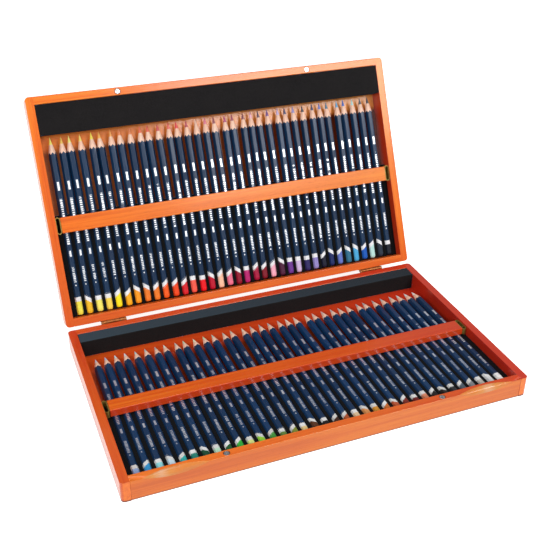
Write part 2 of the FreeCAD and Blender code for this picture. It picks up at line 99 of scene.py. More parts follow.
PENCILS = {
    "lid": ("lemon", "mustard", "straw", "naples", "sun", "golden", "amber", "orange", "orange",
            "bright orange", "red orange", "red", "coral", "bright red", "crimson", "peach", "pink",
            "dark crimson", "magenta", "cherry", "dark red", "light pink", "plum", "violet",
            "lilac", "indigo", "lavender", "night", "dark blue", "periwinkle", "teal blue", "sky",
            "strong blue", "mint", "navy grey", "blue black"),
    "base": ("pale blue", "bright sky", "pale aqua", "ice", "turquoise", "sea green", "dark green",
             "pale mint", "forest", "bright green", "celery", "lime", "green", "moss", "olive",
             "pale ochre", "brown", "black", "dark brown", "sienna", "sand", "tan", "golden ochre",
             "orange ochre", "terracotta", "brown red", "deep red", "light terracotta", "black",
             "brown black", "grey black", "slate", "grey", "warm grey", "light grey", "white"),
}
# How red a board is (below 0 how tan, below -1 how pale): its upper face at its two ends, left or
# front one first, its sides, and its finger scoops if it has them. The wood's own stained tone is
# mixed here with painted light: the redder, darker right-hand parts and sides are painted shade,
# the tan is partly painted sheen, and the pale scoops are painted highlights
STAIN_AND_LIGHT = {"base_left_rail": (0.4, 0.8, 0.4), "base_right_rail": (0.95, 0.95, 1),
         "base_front_rail": (-0.15, 0.8, -0.15, -1.3), "base_back_rail": (0.6, 1, 0.4),
         "base_panel": (0.6, 1, 0), "base_bar": (0.2, 0.85, 0.8),
         "lid_left_rail": (0.5, 0, -0.1), "lid_right_rail": (0.15, -0.5, 0.9),
         "lid_front_rail": (0, -0.5, 0.3), "lid_back_rail": (0.5, 0.15, 0.3),
         "lid_panel": (-0.3, -1, 0), "lid_bar": (0, -0.45, 0.2)}
# Painted shade: how dark a rail's sides are painted, or a panel under the pencils
SHADOWED = {"base_front_rail": 0.2, "base_panel": 0.5, "lid_panel": 0.9}
# Lean of each pencil's dipped band: -1, 0 or 1
LEANS = {"lid": "-<-->><<>>>>--<>><->>><----><><<>><-",
         "base": "->-<>-<->>-<>->-<->>-<-><>--><->>-<-"}
LEAN = {"<": -1, "-": 0, ">": 1}
# How far each pencil stands to the right, ASIDE_AT from its point; it is turned about TURN_AT
ASIDE = {"lid": (0.5, 1, -0.9, -0.2, 0.8, -1, 0.2, -0.6, 0, 0.5, -1.4, -0.8, 0.4, -1, -0.4,
                -0.1, -0.2, -0.5, 1.4, -0.4, 1.5, 0.4, -0.8, -0.5, 1.1, -0.4, -0.6, 0.3,
                1.5, 0.4, -1, 1.1, -0.7, 0.1, -0.2, -1),
         "base": (0.8, 0.4, -0.1, -0.4, -0.2, -0.2, 0, -0.7, 0.4, -0.9, -0.4, 0, -0.6, 0.5,
                 -0.9, 1.2, 0.4, 0, -0.4, 0.5, -0.4, -1.2, 1.1, -0.2, 0.4, 0.8, -0.2, -0.6,
                 1, -0.8, 0.4, 0.6, 1.2, 0.3, -0.1, -0.4)}


def linear(text):
    """Linear colour of a six-digit hexadecimal one."""
    parts = [int(text[i:i + 2], 16) / 255 for i in (0, 2, 4)]
    parts = [c / 12.92 if c <= 0.04045 else ((c + 0.055) / 1.055) ** 2.4 for c in parts]
    return (*parts, 1.0)


# ---------------------------------------------------------------- materials

class Wires:
    """Short ways to wire up a node tree; a value is a number, a colour or another node's output."""

    def __init__(self, tree):
        self.tree = tree

    def feed(self, socket, value):
        if isinstance(value, bpy.types.NodeSocket):
            self.tree.links.new(value, socket)
        else:
            socket.default_value = value

    def attribute(self, name):
        node = self.tree.nodes.new("ShaderNodeAttribute")
        node.attribute_name = name
        return node.outputs

    def split(self, vector):
        node = self.tree.nodes.new("ShaderNodeSeparateXYZ")
        self.feed(node.inputs[0], vector)
        return node.outputs

    def calc(self, operation, *values, clamp=False):
        node = self.tree.nodes.new("ShaderNodeMath")
        node.operation = operation
        node.use_clamp = clamp
        for socket, value in zip(node.inputs, values):
            self.feed(socket, value)
        return node.outputs[0]

    def stretch(self, vector, *factors):
        node = self.tree.nodes.new("ShaderNodeVectorMath")
        node.operation = "MULTIPLY"
        self.feed(node.inputs[0], vector)
        node.inputs[1].default_value = factors
        return node.outputs[0]

    def noise(self, vector, scale=1, detail=2, roughness=0.5, distortion=0):
        node = self.tree.nodes.new("ShaderNodeTexNoise")
        self.feed(node.inputs["Vector"], vector)
        for name, value in (("Scale", scale), ("Detail", detail), ("Roughness", roughness),
                            ("Distortion", distortion)):
            node.inputs[name].default_value = value
        return node.outputs[0]

    def cells(self, vector, scale, feature="F1"):
        node = self.tree.nodes.new("ShaderNodeTexVoronoi")
        node.feature = feature
        self.feed(node.inputs["Vector"], vector)
        node.inputs["Scale"].default_value = scale
        return node.outputs["Distance"]

    def chance(self, value):
        """A random number for each whole value."""
        node = self.tree.nodes.new("ShaderNodeTexWhiteNoise")
        node.noise_dimensions = "1D"
        self.feed(node.inputs["W"], value)
        return node.outputs["Value"]

    def ramp(self, value, *stops):
        node = self.tree.nodes.new("ShaderNodeValToRGB")
        self.feed(node.inputs[0], value)
        points = node.color_ramp.elements
        while len(points) < len(stops):
            points.new(0.5)
        for point, (position, colour) in zip(points, stops):
            point.position = position
            point.color = colour
        return node.outputs[0]

    def mix(self, share, a, b):
        node = self.tree.nodes.new("ShaderNodeMix")
        node.data_type = "RGBA"
        for index, value in ((0, share), (6, a), (7, b)):
            self.feed(node.inputs[index], value)
        return node.outputs[2]

    def span(self, value, low, high):
        """Value taken from low-high to 0-1, and held there outside them."""
        node = self.tree.nodes.new("ShaderNodeMapRange")
        for index, item in ((0, value), (1, low), (2, high)):
            self.feed(node.inputs[index], item)
        return node.outputs[0]

    def between(self, value, low, high, soft=0.12):
        """1 between low and high, with soft edges."""
        rise = self.span(self.calc("SUBTRACT", value, low), 0, soft)
        fall = self.span(self.calc("SUBTRACT", high, value), 0, soft)
        return self.calc("MULTIPLY", rise, fall)

    def bump(self, height, distance, strength=1.0):
        node = self.tree.nodes.new("ShaderNodeBump")
        node.inputs["Distance"].default_value = distance
        node.inputs["Strength"].default_value = strength
        self.feed(node.inputs["Height"], height)
        return node.outputs[0]


class Shader(Wires):
    """One material with a Principled BSDF."""

    def __init__(self, name, **constants):
        self.material = bpy.data.materials.new(name)
        self.material.use_nodes = True
        super().__init__(self.material.node_tree)
        self.bsdf = self.tree.nodes["Principled BSDF"]
        self.surface(**constants)

    def surface(self, **sources):
        for socket, value in sources.items():
            self.feed(self.bsdf.inputs[socket.replace("_", " ")], value)
        return self.material


def stained_wood():
    """Varnished wood: grain under stained colour from tan to red, with painted highlights and shade
    in it, and a painted contact shadow along its foot.
    """
    s = Shader("stained_wood", Specular_IOR_Level=0.1, Coat_Weight=0.6, Coat_Roughness=0.17)
    place = s.attribute("grain")["Vector"]
    streak = s.noise(s.stretch(place, 0.006, 0.26, 0.26), detail=3, distortion=0.4)
    fibre = s.noise(s.stretch(place, 0.05, 2.2, 2.2), detail=3, roughness=0.6)
    cloud = s.noise(s.stretch(place, 0.007, 0.03, 0.03), detail=1)
    figure = s.calc("MULTIPLY_ADD", fibre, 0.25, s.calc("MULTIPLY", cloud, 0.25))
    figure = s.calc("MULTIPLY_ADD", streak, 0.5, figure)
    colour = s.ramp(figure, (0.36, linear("d4580f")), (0.47, linear("e46a14")),
                    (0.60, linear("ee7e20")))
    tone, height, dark = s.split(s.attribute("stain_and_light")["Vector"])
    # Red and tan are the wood's own stained tones with painted shade and painted sheen mixed in;
    # the pale is only a painted highlight, on the finger scoops
    colour = s.mix(s.calc("MULTIPLY", tone, 1, clamp=True), colour, linear("c02c18"))
    colour = s.mix(s.calc("MULTIPLY", tone, -1, clamp=True), colour, linear("e49448"))
    colour = s.mix(s.span(tone, -1, -2), colour, linear("f6dccb"))
    # A painted contact shadow along the foot, and the painted shade of sides and gaps, in one dark
    # colour
    contact_shadow = s.calc("MULTIPLY", s.span(height, 1.8, 0.9), 0.85)
    colour = s.mix(s.calc("MAXIMUM", contact_shadow, dark), colour, linear("3c1412"))
    pores = s.span(s.noise(s.stretch(place, 0.16, 3.4, 3.4), detail=1), 0.63, 0.72)
    colour = s.mix(s.calc("MULTIPLY", pores, 0.3), colour, linear("8a300c"))
    relief = s.calc("SUBTRACT", fibre, s.calc("MULTIPLY", pores, 0.7))
    return s.surface(Base_Color=colour, Normal=s.bump(relief, 0.00003, 0.35),
                     Roughness=s.span(fibre, -0.4, 2.4))


def foam():
    """Black foam with fine cells; above 0 a bluish sheen is painted on it, below 0 painted shade.
    """
    s = Shader("foam", Sheen_Weight=0.45, Sheen_Roughness=0.25, Sheen_Tint=(0.35, 0.6, 1.0, 1.0),
               Specular_IOR_Level=0.15)
    place = s.attribute("grain")["Vector"]
    cells = s.cells(place, 2.1)
    cloud = s.noise(place, 0.05, 2)
    colour = s.mix(s.span(cells, 0.1, 0.75), linear("1c1a1c"), linear("0d0c0d"))
    colour = s.mix(s.calc("MULTIPLY", cloud, 0.5), colour, linear("201d1c"))
    tone = s.split(s.attribute("stain_and_light")["Vector"])[0]
    # Above 0 a painted bluish sheen, below 0 painted shade
    colour = s.mix(s.calc("MULTIPLY", tone, 1, clamp=True), colour, linear("36444e"))
    colour = s.mix(s.calc("MULTIPLY", tone, -1, clamp=True), colour, linear("030405"))
    relief = s.calc("MULTIPLY_ADD", cells, -0.7, s.noise(place, 0.6, 3))
    return s.surface(Base_Color=colour, Roughness=s.span(cells, -3.0, 1.0),
                     Normal=s.bump(relief, 0.00022, 0.6))


def metal(name, light, dark, roughness, tarnish, metallic=1.0):
    """Metal with fine scratches and patches of two colours, which the tarnish sets apart."""
    s = Shader(name, Metallic=metallic)
    light, dark = linear(light), linear(dark)
    place = s.stretch(s.tree.nodes.new("ShaderNodeTexCoord").outputs["Object"], 1000, 1000, 1000)
    patches = s.noise(place, 0.5, 4, 0.6)
    scratches = s.noise(s.stretch(place, 0.4, 5, 5), 1, 2)
    colour = s.mix(s.span(patches, 0.42, 0.42 + tarnish), dark, light)
    rough = s.calc("MULTIPLY_ADD", scratches, 0.18, roughness)
    return s.surface(Base_Color=colour, Roughness=rough, Normal=s.bump(scratches, 0.00001, 0.4))


def pencil_paint():
    """Lacquer with foil marks, a white band and a dipped end.

    "print" holds the face coordinate (0 at the middle of the printed face, 1 for each face), the
    distance from the point and the place across the pencil in mm; "tune" the band's lean, the
    pencil's own number and its painted sheen: how much lighter its lacquer, foil and band are
    painted, as reflected light.
    """
    s = Shader("pencil_paint", Specular_IOR_Level=0.2, Coat_Weight=0.16, Coat_Roughness=0.12)
    around, along, across = s.split(s.attribute("print")["Vector"])
    lean, number, painted_sheen = s.split(s.attribute("tune")["Vector"])
    offset = s.calc("ABSOLUTE", around)

    def dashes(low, high, period, height):
        """A row of plain foil dashes of uneven lengths and heights."""
        place = s.calc("DIVIDE", along, period)
        cell = s.calc("ADD", s.calc("FLOOR", place), s.calc("MULTIPLY", number, 61))
        luck = s.chance(cell)
        end = s.calc("MULTIPLY_ADD", luck, 0.35, 0.6)
        top = s.calc("MULTIPLY_ADD", s.chance(s.calc("ADD", cell, 7)), 0.08, height)
        dash = s.calc("MULTIPLY", s.between(s.calc("FRACT", place), 0.08, end, 0.08),
                      s.between(offset, -1, top, 0.04))
        kept = s.calc("GREATER_THAN", luck, 0.04)
        return s.calc("MULTIPLY", dash, s.calc("MULTIPLY", kept, s.between(along, low, high)))

    def block(low, high, height):
        """A plain foil bar."""
        return s.calc("MULTIPLY", s.between(along, low, high, 0.25),
                      s.between(offset, -1, height, 0.04))

    marks = dashes(60, 105, 2.1, 0.26)
    for more in (dashes(127, 142.5, 1.7, 0.25), block(43.5, 52, 0.27), block(111, 117, 0.24),
                 block(144.6, 146.2, 0.15)):
        marks = s.calc("MAXIMUM", marks, more)
    wear = s.noise(s.stretch(s.attribute("print")["Vector"], 9, 1.2, 0), 1, 2)
    marks = s.calc("MULTIPLY", marks, s.span(wear, 0.0, 0.24))

    slanted = s.calc("ADD", along, s.calc("MULTIPLY", s.calc("MULTIPLY", lean, across), 0.75))
    place = s.calc("MULTIPLY_ADD", s.chance(s.calc("MULTIPLY", number, 17)), 2.4, slanted)
    band = s.span(place, 159.3, 159.5)
    dip = s.span(place, 163.6, 163.8)
    tone = s.calc("MULTIPLY_ADD", s.chance(s.calc("MULTIPLY", number, 13)), 0.5, 0.25)
    # Painted sheen: at 1, as on the lid, the lacquer is painted greyer and the foil and band
    # whiter, as reflected light
    navy = s.mix(painted_sheen, s.mix(tone, linear("092848"), linear("0e4070")),
                 s.mix(tone, linear("0b2440"), linear("15385a")))
    cloud = s.noise(s.stretch(s.attribute("print")["Vector"], 1, 0.06, 0.3), 1, 3)
    navy = s.mix(s.calc("MULTIPLY", cloud, 0.35), navy, linear("0c1c38"))
    foil = s.mix(painted_sheen, linear("a4aec6"), linear("e6eaee"))
    colour = s.mix(marks, navy, foil)
    colour = s.mix(band, colour, s.mix(painted_sheen, linear("c2c2be"), linear("e8eaec")))
    colour = s.mix(dip, colour, s.attribute("shade")["Color"])
    coats = s.calc("MULTIPLY", s.calc("ADD", band, dip), 0.4)
    relief = s.calc("ADD", coats, s.calc("MULTIPLY", cloud, 0.1))
    return s.surface(Base_Color=colour, Metallic=s.calc("MULTIPLY", marks, 0.7),
                     Roughness=s.calc("MULTIPLY_ADD", cloud, 0.12, 0.26),
                     Normal=s.bump(relief, 0.00008, 0.5))


def cedar():
    """Bare wood of the sharpened cones, with the blade's marks round them."""
    s = Shader("bare_cedar", Specular_IOR_Level=0.3)
    place = s.attribute("print")["Vector"]
    rays = s.noise(s.stretch(place, 6, 0.25, 0.6), 1, 3)
    blade = s.noise(s.stretch(place, 0.3, 4, 0), 1, 1)
    number = s.split(s.attribute("tune")["Vector"])[1]
    own = s.mix(s.chance(s.calc("MULTIPLY", number, 29)), linear("fcdfca"), linear("f6cbb2"))
    colour = s.mix(s.span(rays, 0.35, 0.7), own, linear("e4b096"))
    relief = s.calc("ADD", rays, s.calc("MULTIPLY", blade, 0.5))
    return s.surface(Base_Color=colour, Roughness=s.span(rays, -1.2, 1.3),
                     Normal=s.bump(relief, 0.00004, 0.5))


def colour_core():
    """Waxy colour core, a little paler where it is gritty."""
    s = Shader("colour_core", Coat_Weight=0.15, Coat_Roughness=0.35)
    place = s.attribute("print")["Vector"]
    grit = s.noise(s.stretch(place, 8, 2.5, 2.5), 1, 3)
    shade = s.attribute("shade")["Color"]
    colour = s.mix(s.calc("MULTIPLY", s.span(grit, 0.45, 0.75), 0.25), shade, (0.9, 0.88, 0.85, 1))
    return s.surface(Base_Color=colour, Roughness=s.span(grit, -0.7, 1.6),
                     Normal=s.bump(grit, 0.00004, 0.5))


WOOD, FOAM, PAINT, CEDAR, CORE = stained_wood(), foam(), pencil_paint(), cedar(), colour_core()
BRASS = metal("brass", "be9654", "8a6834", 0.28, 0.45)
SPRING = metal("spring_brass", "c0a058", "94803c", 0.4, 0.45, metallic=0.75)
HINGE = metal("hinge_brass", "b87a48", "8a5430", 0.3, 0.45)
NICKEL = metal("nickel", "cfd0d2", "96989c", 0.18, 0.2)


# ---------------------------------------------------------------- geometry

def shaped(name, mesh, materials, body, node):
    """Finish a piece: smooth faces and crisp creases, its materials and body, and its CAD node
    hidden.
    """
    piece = bpy.data.objects.new(name, mesh)
    bpy.context.scene.collection.objects.link(piece)
    for material in materials:
        mesh.materials.append(material)
    mesh.polygons.foreach_set("use_smooth", [True] * len(mesh.polygons))
    mesh.set_sharp_from_angle(angle=math.radians(42))
    weighted = piece.modifiers.new("weighted", "WEIGHTED_NORMAL")
    weighted.keep_sharp = True
    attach(piece, body)
    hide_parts(node)
    return piece


def baked(bm, name):
    """The finished mesh, under its name."""
    mesh = bpy.data.meshes.new(name)
    bm.to_mesh(mesh)
    bm.free()
    return mesh


def skin(bm, rings):
    """Faces between rings of the same number of points."""
    for a, b in zip(rings, rings[1:]):
        for i in range(len(a)):
            j = (i + 1) % len(a)
            bm.faces.new((a[i], a[j], b[j], b[i]))


def clamped(value):
    return min(1, max(0, value))


def set_grain(mesh, tray, along, seed, stain_and_light, dark=0):
    """Write down for the shaders where each point lies in its board, how the board is stained, and
    the light and shade painted on it.

    "grain" holds the place in mm, from a start of the board's own: along the grain, across it and
    through it. The second attribute holds how red the face is, its stained colour with painted
    highlights and shade mixed in; its height in mm, for the painted contact shadow at its foot (a
    large one on faces that look down, which get none); and how dark its painted shade is.
    """
    pick = random.Random(seed)
    shift = Vector((pick.uniform(0, 900), pick.uniform(0, 400), pick.uniform(0, 400)))
    back = TRAYS[tray].inverted()
    spots = [back @ vertex.co / MM for vertex in mesh.vertices]
    places, stain_and_light_values = [], []
    for x, y, z in spots:
        places += list(Vector((x, y, z) if along == "x" else (y, x, z)) + shift)
    first, last, sides, scoop_highlight = (*stain_and_light, 0)[:4]
    panel = "panel" in mesh.name
    for face in mesh.polygons:
        facing = back.to_3x3() @ face.normal
        upper = facing.z > 0.9
        sunk = 0.5 < facing.z <= 0.9 and all(SCOOP_FROM < abs(spots[k].x) < SCOOP_TO
                                             for k in face.vertices)
        end = along == "y" and facing.y < -0.9
        for k in face.vertices:
            x, y, z = spots[k]
            share = clamped(0.5 + (x if along == "x" else y) / STAIN_AND_LIGHT_SPAN[along])
            tone = first + (last - first) * share if upper else sides
            # Painted highlight on the finger scoops, palest at their given places and half as pale
            # 15 mm away
            if sunk:
                off = abs(x - SCOOP_HIGHLIGHT_AT[x > 0])
                tone = scoop_highlight * max(0.5, 1 - off / 30)
            if end:  # a side rail's end shows between its neighbour's sides, and is stained alike
                tone = STAIN_AND_LIGHT["base_front_rail" if tray == "base" else "lid_back_rail"][2]
            # Painted shade on a board's sides and ends (panels get theirs below)
            shadow = dark if (not upper and not panel) or end else 0
            # Painted shade: the floor between the pencils is painted redder and darker
            if panel and upper:  # redder and darker under the pencils, most of all at the right
                under = clamped((STRIP_TO - y) / (STRIP_TO - STRIP_FROM))
                tone += (0.6 - tone) * under * share
                shadow = dark * (0.6 + 0.4 * share) * under
            stain_and_light_values += [tone, z if facing.z > -0.9 else 20, shadow]
    mesh.attributes.new("grain", "FLOAT_VECTOR", "POINT").data.foreach_set("vector", places)
    mesh.attributes.new("stain_and_light", "FLOAT_VECTOR", "CORNER").data.foreach_set("vector", stain_and_light_values)


def whole_faces(node):
    """Copy of a CAD node's mesh with its flat faces made whole."""
    bm = bmesh.new()
    bm.from_mesh(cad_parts[node].data)
    bmesh.ops.remove_doubles(bm, verts=bm.verts, dist=3e-6)
    bmesh.ops.dissolve_limit(bm, angle_limit=math.radians(0.4), verts=bm.verts, edges=bm.edges)
    return bm


def eased(node, size, shortest, cuts=()):
    """Copy of a CAD node with its long sharp edges rounded over, and its faces cut across at Y."""
    bm = whole_faces(node)
    edges = [e for e in bm.edges if e.is_manifold and e.calc_length() > shortest * MM
             and e.calc_face_angle(0) > math.radians(35)]
    bmesh.ops.bevel(bm, geom=edges, offset=size * MM, segments=3, profile=0.5, affect="EDGES",
                    clamp_overlap=True, loop_slide=True)
    place = TRAYS["lid" if node.startswith("lid") else "base"]
    for cut in cuts:
        bmesh.ops.bisect_plane(bm, geom=bm.verts[:] + bm.edges[:] + bm.faces[:], dist=1e-7,
                               plane_co=place @ Vector((0, cut * MM, 0)),
                               plane_no=place.to_3x3() @ Vector((0, 1, 0)))
    return baked(bm, node + "_eased")


def dress_wood():
    seed = 10
    for tray in TRAYS:
        for part, along in (("left_rail", "y"), ("right_rail", "y"), ("front_rail", "x"),
                            ("back_rail", "x"), ("panel", "x"), ("bar", "x")):
            seed += 1
            node = f"{tray}_{part}"
            mesh = eased(node, size=0.45 if part == "bar" else 0.6, shortest=12,
                         cuts=(STRIP_FROM, STRIP_TO) if part == "panel" else ())
            set_grain(mesh, tray, along, seed, STAIN_AND_LIGHT[node], SHADOWED.get(node, 0))
            body = node if part == "bar" else f"{tray}_tray"
            shaped(node.replace("_", "_wood_", 1), mesh, (WOOD,), body, node)


def dress_foam():
    for tray in TRAYS:
        node = f"{tray}_filler_block"
        mesh = foam_block(tray, *local_box(node, tray))
        # A painted bluish sheen on the base block's top, strongest at its left
        set_grain(mesh, tray, "x", 40, (0.9, 0.3, 0) if tray == "base" else (0, 0, 0))
        block = shaped(mesh.name, mesh, (FOAM,), f"{tray}_tray", node)
        mesh = foam_rest(tray)
        # The whole rest is painted darker, as painted shade between and under the pencils
        set_grain(mesh, tray, "x", 41, (-0.8, -0.8, -0.8))
        rest = shaped(mesh.name, mesh, (FOAM,), f"{tray}_tray", f"{tray}_pencil_rest")


def local_box(node, tray):
    """Lowest and highest corners of a CAD node in its tray's frame, in mm."""
    back = TRAYS[tray].inverted()
    points = [back @ v.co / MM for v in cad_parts[node].data.vertices]
    return [Vector(pick(p[i] for p in points) for i in range(3)) for pick in (min, max)]


def foam_block(tray, low, high):
    """Soft-edged block whose faces dip and swell a little, as cut foam does."""
    bm = bmesh.new()
    bmesh.ops.create_cube(bm, size=1)

    def reach(edge):
        return abs((edge.verts[0].co - edge.verts[1].co).x)

    lengthwise = [e for e in bm.edges if reach(e) > 0.5]
    bmesh.ops.subdivide_edges(bm, edges=lengthwise, cuts=60, use_grid_fill=True)
    crosswise = [e for e in bm.edges if reach(e) < 1e-6 and len(e.link_faces) == 2]
    bmesh.ops.subdivide_edges(bm, edges=crosswise, cuts=4, use_grid_fill=True)
    size, middle = high - low, (low + high) / 2
    for vertex in bm.verts:
        co = vertex.co
        place = Vector((co.x * size.x, co.y * size.y, co.z * size.z)) + middle
        inner = [(0.5 - abs(co[i])) * size[i] for i in range(3)]
        sag = 0.22 * (noise.noise(place * 0.035) - 0.6)
        if co.z > 0.499:
            place.z += sag * min(1, min(inner[:2]) / 2)
        if co.y < -0.499:
            place.y -= sag * min(1, inner[0] / 2, inner[2] / 2)
        vertex.co = TRAYS[tray] @ (place * MM)
    edges = [e for e in bm.edges if e.calc_face_angle(0) > math.radians(60)]
    bmesh.ops.bevel(bm, geom=edges, offset=0.9 * MM, segments=3, profile=0.5, affect="EDGES")
    return baked(bm, f"{tray}_foam_block")


def foam_rest(tray):
    """Soft rest whose lips close round the pencils a little above their widest line.

    Its section is drawn from the pencils' axis: "gap" is its play, "lip" its top, "mouth" half of
    the opening between two lips.
    """
    gap, lip, floor = 0.12, 2.0, PANEL_Z - AXIS_Z
    half = APOTHEM * math.tan(math.pi / 6)
    corner = 2 * half + gap
    mouth = corner - (lip - 0.3) * math.tan(math.pi / 6)
    side = [(-mouth - 0.8, lip), (-mouth - 0.25, lip - 0.08), (-mouth, lip - 0.3),
            (-corner, 0), (-half, -APOTHEM - gap)]
    line = [(-INNER_X, floor), (-INNER_X, lip - 0.3), (-INNER_X + 0.4, lip)]
    for i in range(COUNT):
        x = FIRST_X + i * PITCH
        line += [(x + a, z) for a, z in side] + [(x - a, z) for a, z in side[::-1]]
    line += [(INNER_X - 0.4, lip), (INNER_X, lip - 0.3), (INNER_X, floor)]
    bm = bmesh.new()
    steps = 24
    rings = []
    for step in range(steps + 1):
        y = -INNER_Y + (REST_END + INNER_Y) * step / steps
        ring = []
        for x, z in line:
            sway = 0.12 * noise.noise(Vector((x * 0.21, y * 0.05, 3))) if z > 0.5 else 0
            ring.append(bm.verts.new(TRAYS[tray] @ (Vector((x, y, AXIS_Z + z + sway)) * MM)))
        rings.append(ring)
    skin(bm, rings)
    bm.faces.new(rings[0][::-1])
    bm.faces.new(rings[-1])
    bmesh.ops.recalc_face_normals(bm, faces=bm.faces)
    return baked(bm, f"{tray}_foam_rest")


def section():
    """Clockwise round a pencil's section from its top's middle: across, up, face coordinate."""
    half = (APOTHEM - CORNER_ROUND) * math.tan(math.pi / 6)
    width = 2 * APOTHEM * math.tan(math.pi / 6)
    points = []
    for face in range(6):
        spots = [(face, 0, APOTHEM), (face, half, APOTHEM)]
        for a in (math.radians(20), math.radians(40)):
            spots.append((face, half + CORNER_ROUND * math.sin(a),
                          APOTHEM - CORNER_ROUND + CORNER_ROUND * math.cos(a)))
        spots.append((face + 1, -half, APOTHEM))
        for side, x, z in spots:
            turn = -math.radians(60 * side)
            points.append((x * math.cos(turn) - z * math.sin(turn),
                           x * math.sin(turn) + z * math.cos(turn), side + x / width))
    return points


class Template:
    """Rings of points joined into a closed skin, with the values that the shaders read."""

    def __init__(self, columns, rings, materials):
        """columns: (across, up, face coordinate) of each; rings: functions of a column's across and
        up that give its point; materials: the slot of each strip between two rings.
        """
        count = len(columns)
        self.points = [ring(x, z) for ring in rings for x, z, _ in columns]
        self.faces, self.index, self.around = [], [], []
        for r, material in enumerate(materials):
            for i in range(count):
                j = (i + 1) % count
                self.faces.append((r * count + i, r * count + j,
                                   (r + 1) * count + j, (r + 1) * count + i))
                self.index.append(material)
                a, b = columns[i][2], columns[j][2] + (6 if j == 0 else 0)
                self.around += [a, b, b, a]
        for r, material, order in ((0, materials[0], -1), (len(rings) - 1, materials[-1], 1)):
            self.faces.append(tuple(r * count + i for i in range(count))[::order])
            self.index.append(material)
            self.around += [columns[i][2] for i in range(count)][::order]


def casing_template():
    """A casing from its lead to its dipped end, which is rounded over."""
    def on_cone(along):
        def place(x, z):
            scale = POINT_SLOPE * along / math.hypot(x, z)
            return x * scale, -along, z * scale
        return place

    def paint_edge(x, z):
        """Where the cone leaves the hexagon: bare wood runs furthest back at the corners."""
        return x, -math.hypot(x, z) / POINT_SLOPE, z

    def barrel(along, scale=1.0):
        return lambda x, z: (x * scale, -along, z * scale)

    rings = [on_cone(LEAD_OUT), on_cone(11), paint_edge, barrel(21), barrel(90), barrel(171.9),
             barrel(173.1, 0.97), barrel(174.1, 0.89), barrel(174.75, 0.75), barrel(LENGTH, 0.55)]
    return Template(section(), rings, [1, 1] + [0] * 7)


def core_template():
    """The bare end of a colour core, with a blunted point."""
    turns = [(2 * math.pi * i / 24, i / 4) for i in range(24)]
    columns = [(math.sin(turn), math.cos(turn), around) for turn, around in turns]
    stops = [(0.5, 0.03), (0.56, 0.09), (0.75, 0.17), (1.1, 0.25)]
    stops += [(t, t * POINT_SLOPE) for t in (1.7, 3.5, 5.5, LEAD_OUT)]
    rings = [lambda x, z, t=t, r=r: (x * r, -t, z * r) for t, r in stops]
    return Template(columns, rings, [0] * (len(stops) - 1))


def pencil_row(name, template, tray, first, painted_highlight=0):
    """Six pencils, each with its own turn, lean, marks and shade, as one mesh.

    The last argument mixes white into the shades, a painted highlight that only the cores get.
    """
    points, faces, index, prints, tunes, shades = [], [], [], [], [], []
    pivot = Vector((0, -TURN_AT, 0))
    for i in range(first, first + GROUP):
        pick = random.Random(f"{tray} pencil {i}")
        turn = Matrix.Rotation(math.radians(pick.uniform(-2.5, 2.5)), 3, "Y")
        shift = Vector((pick.uniform(-0.1, 0.1), pick.uniform(-0.5, 0.3), 0))
        centre = Vector((FIRST_X + i * PITCH, POINT_Y, AXIS_Z)) + shift
        swing = Matrix.Rotation(-ASIDE[tray][i] / (TURN_AT - ASIDE_AT), 3, "Z")
        base = len(points)
        for point in template.points:
            point = swing @ (turn @ Vector(point) - pivot) + pivot
            points.append(TRAYS[tray] @ ((point + centre) * MM))
        corner = 0
        shade = linear(COLOURS[PENCILS[tray][i]])
        shade = [c + (1 - c) * painted_highlight for c in shade]
        lean = LEAN[LEANS[tray][i]]
        number = i + (40 if tray == "lid" else 0)
        # Painted sheen: full on the lid's pencils, a random smaller share on the base's
        painted_sheen = 1 if tray == "lid" else pick.uniform(0.1, 0.7)
        for face, material in zip(template.faces, template.index):
            faces.append([base + k for k in face])
            index.append(material)
            around = template.around[corner:corner + len(face)]
            corner += len(face)
            wrap = 6 * round(sum(around) / len(around) / 6)
            for k, a in zip(face, around):
                x, y, _ = template.points[k]
                prints += [a - wrap, -y, x]
                tunes += [lean, number, painted_sheen]
                shades += shade
    mesh = bpy.data.meshes.new(name)
    mesh.from_pydata(points, [], faces)
    mesh.polygons.foreach_set("material_index", index)
    for label, kind, field, values in (("print", "FLOAT_VECTOR", "vector", prints),
                                       ("tune", "FLOAT_VECTOR", "vector", tunes),
                                       ("shade", "FLOAT_COLOR", "color", shades)):
        mesh.attributes.new(label, kind, "CORNER").data.foreach_set(field, values)
    return mesh


def make_pencils():
    casing, core = casing_template(), core_template()
    for tray, shades in SHADES.items():
        for group, shade in enumerate(shades):
            mesh = pencil_row(f"{tray}_pencils_{shade}", casing, tray, GROUP * group)
            shaped(mesh.name, mesh, (PAINT, CEDAR), f"{tray}_tray",
                   f"{tray}_casings_{shade}")
            # The base's cores get much more white mixed in, as a painted highlight
            mesh = pencil_row(f"{tray}_points_{shade}", core, tray, GROUP * group,
                              0.45 if tray == "base" else 0.04)
            shaped(mesh.name, mesh, (CORE,), f"{tray}_tray",
                   f"{tray}_leads_{shade}")


